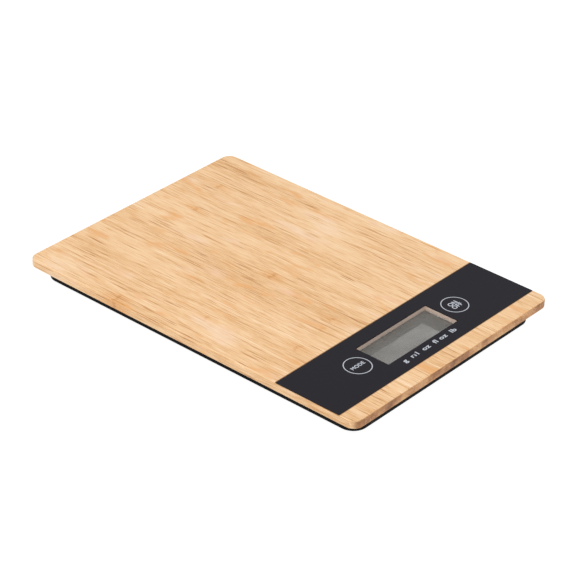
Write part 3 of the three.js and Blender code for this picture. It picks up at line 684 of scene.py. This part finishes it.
FINISHES = {
    "bamboo": bamboo(),
    "panel_film": panel_film(),
    "adhesive": backing_tape(),
    "clear_window": clear_window(),
    "lcd": display_glass(),
    "base_plastic": moulded("base_plastic", srgb(10, 9, 11), srgb(18, 17, 19), 0.55, shine=0.06),
    "light_plastic": moulded("light_plastic", srgb(222, 219, 210), srgb(236, 233, 225), 0.5),
    "dark_plastic": moulded("dark_plastic", srgb(26, 26, 28), srgb(40, 40, 43), 0.45),
    "circuit_board": circuit_mask(),
    "chip_epoxy": moulded("chip_epoxy", srgb(14, 14, 15), srgb(24, 24, 25), 0.25, 500, 0.03),
    "zebra_rubber": rubber("zebra_rubber", srgb(176, 104, 116), srgb(204, 134, 144)),
    "pad_rubber": rubber("pad_rubber", srgb(44, 44, 46), srgb(64, 64, 66)),
    "steel": brushed_metal("steel", srgb(150, 152, 156), srgb(205, 207, 210), 0.32, (2200, 160, 160)),
    "contact_metal": brushed_metal(
        "contact_metal", srgb(168, 160, 138), srgb(214, 206, 184), 0.28, (160, 2200, 160)),
    "coin_steel": brushed_metal(
        "coin_steel", srgb(176, 177, 180), srgb(226, 227, 229), 0.22, (1800, 120, 120)),
    "gauge_film": gauge_foil(),
    "lead_red": moulded("lead_red", srgb(150, 22, 20), srgb(176, 32, 28), 0.4, 900, 0.01),
    "lead_black": moulded("lead_black", srgb(16, 16, 17), srgb(30, 30, 31), 0.4, 900, 0.01),
    "lead_white": moulded("lead_white", srgb(214, 212, 206), srgb(232, 230, 224), 0.4, 900, 0.01),
}
INK = printed_ink()


def dress(piece, material):
    piece.data.materials.clear()
    piece.data.materials.append(material)


def settle(piece, body, slot, *nodes):
    """Gives a finer piece its finish and its body, and lets it stand for these CAD nodes."""
    dress(piece, FINISHES[slot])
    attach(piece, body)
    if nodes:
        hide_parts(*nodes)
    return piece


for part in frame["record"]["subparts"]:
    dress(frame["nodes"][part["node"]], FINISHES[part["material_slot"]])


# ---- Board and panel ----

board_low, board_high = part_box("platform_board")
film_low, film_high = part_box("panel_overlay")
tape_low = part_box("panel_adhesive")[0]
lens_low, lens_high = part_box("window_lens")
lcd_low, lcd_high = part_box("lcd_glass")
window_middle = middle_of("window_lens")
window_width = lens_high.x - lens_low.x + 2 * LENS_PLAY
window_length = lens_high.y - lens_low.y + 2 * LENS_PLAY
key_low, key_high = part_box("unit_key_face")
key_radius = (key_high.x - key_low.x) / 2
key_middles = {"unit": middle_of("unit_key_face"), "tare": middle_of("tare_key_face")}
ABOVE = board_high.z + 5 * MM
BELOW = -5 * MM


def bamboo_board():
    width = board_high.x - board_low.x
    length = board_high.y - board_low.y
    middle = middle_of("platform_board")
    layers = eased_edge(BOARD_BOTTOM_EASE, board_low.z, False)
    layers += eased_edge(BOARD_TOP_EASE, board_high.z, True)
    board = layered_plate("bamboo_board", middle, width, length, BOARD_CORNER, layers)
    recess_floor = tape_low.z - FACE_GAP
    recess_length = film_high.y - film_low.y + 2 * PANEL_PLAY
    pocket_width = lcd_high.x - lcd_low.x + 2 * POCKET_PLAY
    pocket_length = lcd_high.y - lcd_low.y + 2 * POCKET_PLAY
    pocket_top = lcd_high.z + FACE_GAP
    cutters = [
        slab("recess", middle_of("panel_overlay"), 2 * width, recess_length, recess_floor, ABOVE),
        slab("window", window_middle, window_width, window_length, BELOW, ABOVE),
        slab("display pocket", window_middle, pocket_width, pocket_length, BELOW, pocket_top),
    ]
    for middle in key_middles.values():
        cutters.append(rod("key well", middle, key_radius + KEY_PLAY, board_high.z - KEY_WELL_DEPTH, ABOVE))
        cutters.append(rod("stem hole", middle, KEY_STEM_HOLE, BELOW, ABOVE, SMALL_SIDES))
    for corner in CORNERS:
        middle = middle_of("base_screw_" + corner)
        cutters.append(rod("pilot", middle, PILOT_RADIUS, BELOW, board_low.z + PILOT_DEPTH, SMALL_SIDES))
    carve(board, *cutters)
    return settle(smooth(board), "scale", "bamboo", "platform_board")


def panel_sheet():
    width = film_high.x - film_low.x
    length = film_high.y - film_low.y
    layers = [(0, film_low.z), *eased_edge(FILM_EDGE, film_high.z, True)]
    sheet = layered_plate("panel_sheet", middle_of("panel_overlay"), width, length, FILM_CORNER, layers)
    cutters = [slab("window", window_middle, window_width, window_length, BELOW, ABOVE)]
    for middle in key_middles.values():
        cutters.append(rod("key hole", middle, key_radius + KEY_HOLE_PLAY, BELOW, ABOVE))
    carve(sheet, *cutters)
    return settle(smooth(sheet), "scale", "panel_film", "panel_overlay")


def key_disc(key):
    """The key's face: the film's own disc, with a softened rim."""
    edge = [(key_radius - inset, z) for inset, z in eased_edge(FILM_EDGE, key_high.z, True)]
    profile = [(0, key_low.z), (key_radius, key_low.z), *edge, (0, key_high.z)]
    disc = revolved(key + "_key_disc", profile, key_middles[key])
    return settle(smooth(disc), key + "_key", "panel_film", key + "_key_face")


def ink_ring(key):
    low = film_high.z
    high = film_high.z + INK_THICKNESS
    profile = [(RING_INNER, low), (RING_OUTER, low), (RING_OUTER, high), (RING_INNER, high)]
    ring = revolved(key + "_key_ring", profile, key_middles[key], closed=True)
    dress(ring, INK)
    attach(ring, "scale")


def ink_words(name, words, height, place, body, width=None):
    """Printed words, centred on place. The height is a capital's, and a width stretches them to fit."""
    curve = bpy.data.curves.new(name, "FONT")
    curve.body = words
    curve.size = height / CAPITAL_SHARE
    curve.align_x = "CENTER"
    curve.align_y = "CENTER"
    curve.space_line = LINE_SPACING
    curve.space_character = LETTER_SPACING
    curve.offset = LETTER_WEIGHT * height
    curve.extrude = INK_THICKNESS / 2
    shape = bpy.data.objects.new(name, curve)
    bpy.context.scene.collection.objects.link(shape)
    bpy.context.view_layer.update()
    mesh = bpy.data.meshes.new_from_object(shape.evaluated_get(bpy.context.evaluated_depsgraph_get()))
    bpy.data.objects.remove(shape)
    xs = [v.co.x for v in mesh.vertices]
    ys = [v.co.y for v in mesh.vertices]
    stretch = width / (max(xs) - min(xs)) if width else 1.0
    middle = Vector(((max(xs) + min(xs)) / 2, (max(ys) + min(ys)) / 2, 0))
    mesh.transform(Matrix.Diagonal((stretch, 1, 1, 1)) @ Matrix.Translation(-middle))
    mesh.transform(Matrix.Translation(Vector(place)))
    words_piece = bpy.data.objects.new(name, mesh)
    bpy.context.scene.collection.objects.link(words_piece)
    dress(words_piece, INK)
    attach(words_piece, body)


bamboo_board()
panel_sheet()
ink_height = film_high.z + INK_THICKNESS / 2
for key in key_middles:
    key_disc(key)
    ink_ring(key)
unit_x, unit_y = key_middles["unit"].xy
tare_x, tare_y = key_middles["tare"].xy
ink_words("mode_words", "MODE", MODE_HEIGHT, (unit_x, unit_y, ink_height), "unit_key")
ink_words("power_words", "ON\nOFF", POWER_HEIGHT, (tare_x, tare_y, ink_height), "tare_key")
units_place = (window_middle.x, film_low.y + UNITS_FROM_FRONT, ink_height)
ink_words("units_words", "g  ml  oz  fl oz  lb", UNITS_HEIGHT, units_place, "scale", UNITS_WIDTH)


# ---- Base, feet, battery door and fasteners ----

base_low, base_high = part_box("base_shell")
base_middle = middle_of("base_shell")
base_width = base_high.x - base_low.x
base_length = base_high.y - base_low.y
floor_top = base_low.z + BASE_FLOOR
rib_root = floor_top - BASE_FLOOR / 2
door_low, door_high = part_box("battery_door")
door_middle = middle_of("battery_door")
door_back = door_high.y - DOOR_TAB_REACH
door_plate_middle = Vector((door_middle.x, (door_low.y + door_back) / 2, 0))
door_width = door_high.x - door_low.x
door_length = door_back - door_low.y
board_screws = [node for node in frame["nodes"] if node.startswith("board_screw_")]


def cell_seat(corner):
    """A square rail round a foot's hole, which the load cell sits on."""
    middle = middle_of("foot_cap_" + corner)
    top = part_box("load_cell_" + corner)[0].z - FACE_GAP
    rail = slab("seat", middle, SEAT_WIDTH, SEAT_WIDTH, rib_root, top)
    return carve(rail, slab("opening", middle, SEAT_OPENING, SEAT_OPENING, BELOW, ABOVE))


def battery_walls():
    """Low walls that hold the battery holder at its front and sides, turned in at the hinge end."""
    low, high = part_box("battery_holder")
    middle = middle_of("battery_holder")
    top = floor_top + BATTERY_WALL_HEIGHT
    width = high.x - low.x + 2 * DOOR_GAP + 2 * BATTERY_WALL
    length = high.y - low.y + 2 * DOOR_GAP + 2 * BATTERY_WALL
    wall = slab("battery walls", middle, width, length, rib_root, top)
    inside_width = width - 2 * BATTERY_WALL
    inside_length = length - 2 * BATTERY_WALL
    inside = slab("inside", middle, inside_width, inside_length, BELOW, ABOVE)
    hinge_middle = Vector((middle.x, high.y, 0))
    gap_width = door_width + 2 * DOOR_GAP
    hinge_gap = slab("hinge gap", hinge_middle, gap_width, 4 * BATTERY_WALL, BELOW, ABOVE)
    return carve(wall, inside, hinge_gap)


def base_tray():
    layers = [*eased_edge(BASE_EDGE, base_low.z, False), (0, base_high.z)]
    tray = layered_plate("base_tray", base_middle, base_width, base_length, BASE_CORNER, layers)
    inner_width = base_width - 2 * BASE_WALL
    inner_length = base_length - 2 * BASE_WALL
    inner_corner = BASE_CORNER - BASE_WALL
    inner_layers = [(0, floor_top), (0, ABOVE)]
    inside = layered_plate("inside", base_middle, inner_width, inner_length, inner_corner, inner_layers)
    carve(tray, inside)

    ribs = [battery_walls()]
    holes = []
    for corner in CORNERS:
        foot = middle_of("foot_cap_" + corner)
        screw = middle_of("base_screw_" + corner)
        ribs.append(cell_seat(corner))
        ribs.append(rod("boss", screw, BOSS_RADIUS, rib_root, base_high.z, SMALL_SIDES))
        holes.append(rod("foot hole", foot, CAP_RADIUS + FOOT_GAP, BELOW, floor_top + FACE_GAP))
        well_top = base_low.z + SCREW_WELL_DEPTH
        holes.append(rod("screw well", screw, SCREW_WELL_RADIUS, BELOW, well_top, SMALL_SIDES))
        holes.append(rod("screw hole", screw, SCREW_HOLE_RADIUS, BELOW, ABOVE, SMALL_SIDES))
    post_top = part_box("main_board")[0].z - FACE_GAP
    post_hole_low = post_top - POST_HOLE_DEPTH
    for node in board_screws:
        post = middle_of(node)
        ribs.append(rod("post", post, POST_RADIUS, rib_root, post_top, SMALL_SIDES))
        holes.append(rod("post hole", post, POST_HOLE_RADIUS, post_hole_low, ABOVE, SMALL_SIDES))
    unite(tray, *ribs)

    opening_width = door_width + 2 * DOOR_GAP
    opening_length = door_length + 2 * DOOR_GAP
    opening_layers = [(0, BELOW), (0, floor_top + FACE_GAP)]
    holes.append(layered_plate(
        "door opening", door_plate_middle, opening_width, opening_length, DOOR_CORNER, opening_layers))
    label_middle = Vector((0, LABEL_FROM_MIDDLE, 0))
    label_layers = [(0, BELOW), (0, base_low.z + LABEL_DEPTH)]
    holes.append(layered_plate(
        "label recess", label_middle, LABEL_WIDTH, LABEL_LENGTH, LABEL_CORNER, label_layers))
    mark_top = base_low.z + EJECTOR_DEPTH
    for x, y in EJECTOR_PLACES:
        place = Vector((x, y, 0)) * MM
        holes.append(rod("ejector mark", place, EJECTOR_RADIUS, BELOW, mark_top, SMALL_SIDES))
    carve(tray, *holes)
    settle(smooth(tray), "scale", "base_plastic", "base_shell")


def battery_lid():
    top = base_low.z + DOOR_THICKNESS
    layers = [*eased_edge(DOOR_EDGE, base_low.z, False), (0, top)]
    lid = layered_plate("battery_lid", door_plate_middle, door_width, door_length, DOOR_CORNER, layers)
    stem_low = top - DOOR_THICKNESS / 2
    hook_low = door_high.z - DOOR_TAB_THICKNESS
    hook_length = DOOR_TAB_REACH + DOOR_TAB_THICKNESS
    tabs = []
    for side in (-1, 1):
        x = side * (door_width / 2 + DOOR_GAP - DOOR_TAB_FROM_SIDE)
        stem = Vector((x, door_back - DOOR_TAB_THICKNESS / 2, 0))
        hook = Vector((x, door_back + (DOOR_TAB_REACH - DOOR_TAB_THICKNESS) / 2, 0))
        tabs.append(slab("tab", stem, DOOR_TAB_WIDTH, DOOR_TAB_THICKNESS, stem_low, door_high.z))
        tabs.append(slab("hook", hook, DOOR_TAB_WIDTH, hook_length, hook_low, door_high.z))
    unite(lid, *tabs)

    front = door_low.y
    cutters = []
    for side in (-1, 1):
        slot = Vector((side * (LATCH_WIDTH + LATCH_SLOT) / 2, front + LATCH_LENGTH / 2 - LATCH_SLOT, 0))
        slot_length = LATCH_LENGTH + 2 * LATCH_SLOT
        cutters.append(slab("latch slot", slot, LATCH_SLOT, slot_length, BELOW, ABOVE))
    thumb = Vector((door_middle.x, front - LATCH_SLOT, 0))
    cutters.append(rod("thumb recess", thumb, LATCH_WIDTH / 2, BELOW, base_low.z + DOOR_THICKNESS / 2))
    origin = Vector((0, 0, 0))
    turn = Matrix.Rotation(math.pi / 2, 4, "Y")
    half_groove = LATCH_WIDTH / 2
    for i in range(GRIP_COUNT):
        y = front + GRIP_START + GRIP_STEP * i
        groove = rod("grip groove", origin, GRIP_RADIUS, -half_groove, half_groove, SMALL_SIDES)
        groove.data.transform(Matrix.Translation((door_middle.x, y, base_low.z - GRIP_RISE)) @ turn)
        cutters.append(groove)
    tip = front + ARROW_START
    tail = tip + ARROW_LENGTH
    half = ARROW_LENGTH * ARROW_SPREAD
    outline = [(0, tip), (half, tail), (-half, tail)]
    deep = base_low.z + ARROW_DEPTH
    arrow_corners = [(x, y, z) for z in (BELOW, deep) for x, y in outline]
    arrow_faces = [(2, 1, 0), (3, 4, 5), (0, 1, 4, 3), (1, 2, 5, 4), (2, 0, 3, 5)]
    cutters.append(new_piece("arrow", arrow_corners, arrow_faces))
    carve(lid, *cutters)
    settle(smooth(lid), "battery_cover", "base_plastic", "battery_door")


def foot_cap(corner):
    """The cap hangs from the load cell's tongue by a staked pin."""
    middle = middle_of("foot_cap_" + corner)
    cell_low, cell_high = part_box("load_cell_" + corner)
    inner = CAP_RADIUS - CAP_RIM
    stake = cell_high.z + FACE_GAP
    shoulder = cell_low.z - FOOT_TRAVEL - SHOULDER_PLAY
    soft = CAP_SOFTENING
    profile = [
        (0, PAD_SEAT),
        (inner, PAD_SEAT),
        (inner, CAP_BOTTOM),
        (CAP_RADIUS - soft, CAP_BOTTOM),
        (CAP_RADIUS - soft * 0.3, CAP_BOTTOM + soft * 0.3),
        (CAP_RADIUS, CAP_BOTTOM + soft),
        (CAP_RADIUS, CAP_TOP - soft),
        (CAP_RADIUS - soft, CAP_TOP),
        (SHOULDER_RADIUS, CAP_TOP),
        (SHOULDER_RADIUS, shoulder),
        (STAKE_RADIUS, shoulder),
        (STAKE_RADIUS, stake),
        (STAKE_HEAD_RADIUS, stake),
        (STAKE_HEAD_RADIUS * 0.8, stake + STAKE_HEAD_HEIGHT * 0.8),
        (0, stake + STAKE_HEAD_HEIGHT),
    ]
    cap = revolved("foot_shell_" + corner, profile, middle)
    settle(smooth(cap), "foot_" + corner, "base_plastic", "foot_cap_" + corner)


def foot_pad(corner):
    """A rubber disc with a softened edge and three grip grooves."""
    low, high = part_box("foot_pad_" + corner)
    radius = (high.x - low.x) / 2
    profile = [(0, low.z)]
    for start in PAD_GROOVES:
        inner = start * MM
        outer = inner + PAD_GROOVE_WIDTH
        lip = PAD_GROOVE_WIDTH / 5
        deep = low.z + PAD_GROOVE_DEPTH
        profile += [(inner, low.z), (inner + lip, deep), (outer - lip, deep), (outer, low.z)]
    profile += [(radius - inset, z) for inset, z in eased_edge(PAD_SOFTENING, low.z, False)]
    profile += [(radius, high.z), (0, high.z)]
    pad = revolved("foot_rubber_" + corner, profile, (low + high) / 2)
    settle(smooth(pad), "foot_" + corner, "pad_rubber", "foot_pad_" + corner)


def cross_head_screw(node, head_radius, head_height, shank, head_up):
    """A screw with a cross slot, standing for a CAD screw. Its thread is a row of shallow rings."""
    low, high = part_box(node)
    middle = (low + high) / 2
    length = high.z - low.z
    bevel = head_height / 3
    root = shank * THREAD_ROOT_SHARE
    profile = [
        (0, 0),
        (head_radius - bevel, 0),
        (head_radius - bevel * 0.3, bevel * 0.3),
        (head_radius, bevel),
        (head_radius, head_height),
        (root, head_height),
    ]
    pitch = shank * THREAD_PITCH_SHARE
    turns = int((length - head_height - shank) / pitch)
    for i in range(turns):
        start = head_height + pitch * i
        profile += [(root, start + pitch * 0.2), (shank, start + pitch * 0.5), (root, start + pitch * 0.8)]
    profile += [(root, length - shank), (0, length)]
    origin = Vector((0, 0, 0))
    screw = revolved(node + "_fine", profile, origin, SMALL_SIDES)
    reach = head_radius * SLOT_SHARE
    blade = head_radius * BLADE_SHARE
    depth = head_height * SLOT_DEPTH_SHARE
    carve(
        screw,
        slab("slot", origin, reach, blade, BELOW, depth),
        slab("slot", origin, blade, reach, BELOW, depth),
    )
    if head_up:
        screw.data.transform(Matrix.Rotation(math.pi, 4, "X"))
    head_z = high.z if head_up else low.z
    screw.data.transform(Matrix.Translation((middle.x, middle.y, head_z)))
    settle(smooth(screw), "scale", "steel", node)


def fine_coin_cell():
    """The can faces the door, with its plus sign pressed in, and the smaller cap faces the board."""
    low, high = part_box("coin_cell")
    middle = (low + high) / 2
    radius = (high.x - low.x) / 2
    crimp_top = high.z - CELL_CRIMP
    cap_radius = radius - CELL_CAP_INSET
    profile = [(0, low.z)]
    profile += [(radius - inset, z) for inset, z in eased_edge(CELL_CRIMP, low.z, False)]
    profile += [(radius - inset, z) for inset, z in eased_edge(CELL_CRIMP, crimp_top, True)]
    profile += [(cap_radius, crimp_top), (cap_radius - CELL_CRIMP, high.z), (0, high.z)]
    cell = revolved("battery_cell", profile, middle)
    deep = low.z + PLUS_DEPTH
    carve(
        cell,
        slab("plus", middle, PLUS_LENGTH, PLUS_WIDTH, BELOW, deep),
        slab("plus", middle, PLUS_WIDTH, PLUS_LENGTH, BELOW, deep),
    )
    settle(smooth(cell), "scale", "coin_steel", "coin_cell")


base_tray()
battery_lid()
fine_coin_cell()
for corner in CORNERS:
    foot_cap(corner)
    foot_pad(corner)
    cross_head_screw("base_screw_" + corner, **BASE_SCREW, head_up=False)
for node in board_screws:
    cross_head_screw(node, **BOARD_SCREW, head_up=True)


# ---- Stage, light and camera ----

def floor():
    half = FLOOR_SIZE / 2
    corners = [(-half, -half, 0), (half, -half, 0), (half, half, 0), (-half, half, 0)]
    plane = new_piece("floor", corners, [(0, 1, 2, 3)])
    finish = Finish("floor", (FLOOR_ALBEDO, FLOOR_ALBEDO, FLOOR_ALBEDO, 1), 0.9)
    finish.shader.inputs["Specular IOR Level"].default_value = 0.0
    finish.shader.inputs["Emission Color"].default_value = (1, 1, 1, 1)
    finish.shader.inputs["Emission Strength"].default_value = FLOOR_GLOW
    # The floor is clear from underneath, so that a camera below it sees the underside.
    clear = finish.add("ShaderNodeBsdfTransparent")
    side = finish.add("ShaderNodeNewGeometry")
    mix = finish.add("ShaderNodeMixShader")
    finish.feed(mix.inputs[0], side.outputs["Backfacing"])
    finish.feed(mix.inputs[1], finish.shader.outputs[0])
    finish.feed(mix.inputs[2], clear.outputs[0])
    finish.feed(finish.tree.nodes["Material Output"].inputs["Surface"], mix.outputs[0])
    dress(plane, finish.material)


def aim(light_object, place, target):
    light_object.location = place
    light_object.rotation_mode = "QUATERNION"
    light_object.rotation_quaternion = (target - place).to_track_quat("-Z", "Y")


def softbox(name, place, power):
    light = bpy.data.lights.new(name, "AREA")
    light.shape = "SQUARE"
    light.size = SOFTBOX_SIZE
    light.energy = power
    light_object = bpy.data.objects.new(name, light)
    bpy.context.scene.collection.objects.link(light_object)
    aim(light_object, place, Vector((0, 0, 0)))


def lights():
    world = bpy.data.worlds.new("studio")
    world.use_nodes = True
    background = world.node_tree.nodes["Background"]
    background.inputs["Color"].default_value = (*SKY_COLOUR, 1)
    background.inputs["Strength"].default_value = SKY_STRENGTH
    bpy.context.scene.world = world

    softbox("softbox", SOFTBOX_PLACE, SOFTBOX_POWER)
    # The floor stops this one, so it reaches only what hangs below the floor: the open battery door.
    softbox("underlight", UNDERLIGHT_PLACE, UNDERLIGHT_POWER)

    # A low light from behind on the right lies on the display alone, so the window's walls shade its edge.
    sun = bpy.data.lights.new("display_light", "SUN")
    sun.energy = DISPLAY_SUN_STRENGTH
    sun.angle = DISPLAY_SUN_WIDTH
    sun_object = bpy.data.objects.new("display_light", sun)
    bpy.context.scene.collection.objects.link(sun_object)
    flat = math.cos(DISPLAY_SUN_ELEVATION)
    direction = Vector((
        math.sin(DISPLAY_SUN_AZIMUTH) * flat,
        math.cos(DISPLAY_SUN_AZIMUTH) * flat,
        math.sin(DISPLAY_SUN_ELEVATION),
    ))
    aim(sun_object, direction, Vector((0, 0, 0)))
    lit = bpy.data.collections.new("lit by the display light")
    lit.objects.link(frame["nodes"]["lcd_glass"])
    sun_object.light_linking.receiver_collection = lit


def camera():
    lens = bpy.data.cameras.new("camera")
    lens.sensor_width = SENSOR_MM
    lens.lens = LENS_MM
    lens.clip_start = 0.05
    lens.clip_end = 50
    viewer = bpy.data.objects.new("camera", lens)
    bpy.context.scene.collection.objects.link(viewer)
    back = Vector((
        math.sin(VIEW_AZIMUTH) * math.cos(VIEW_ELEVATION),
        -math.cos(VIEW_AZIMUTH) * math.cos(VIEW_ELEVATION),
        math.sin(VIEW_ELEVATION),
    ))
    level = (-back).to_track_quat("-Z", "Y")
    turn = level @ Matrix.Rotation(VIEW_ROLL, 4, "Z").to_quaternion()
    viewer.rotation_mode = "QUATERNION"
    viewer.rotation_quaternion = turn
    viewer.location = VIEW_TARGET + back * VIEW_DISTANCE
    bpy.context.scene.camera = viewer


floor()
lights()
camera()
bpy.context.scene.view_settings.view_transform = "Standard"
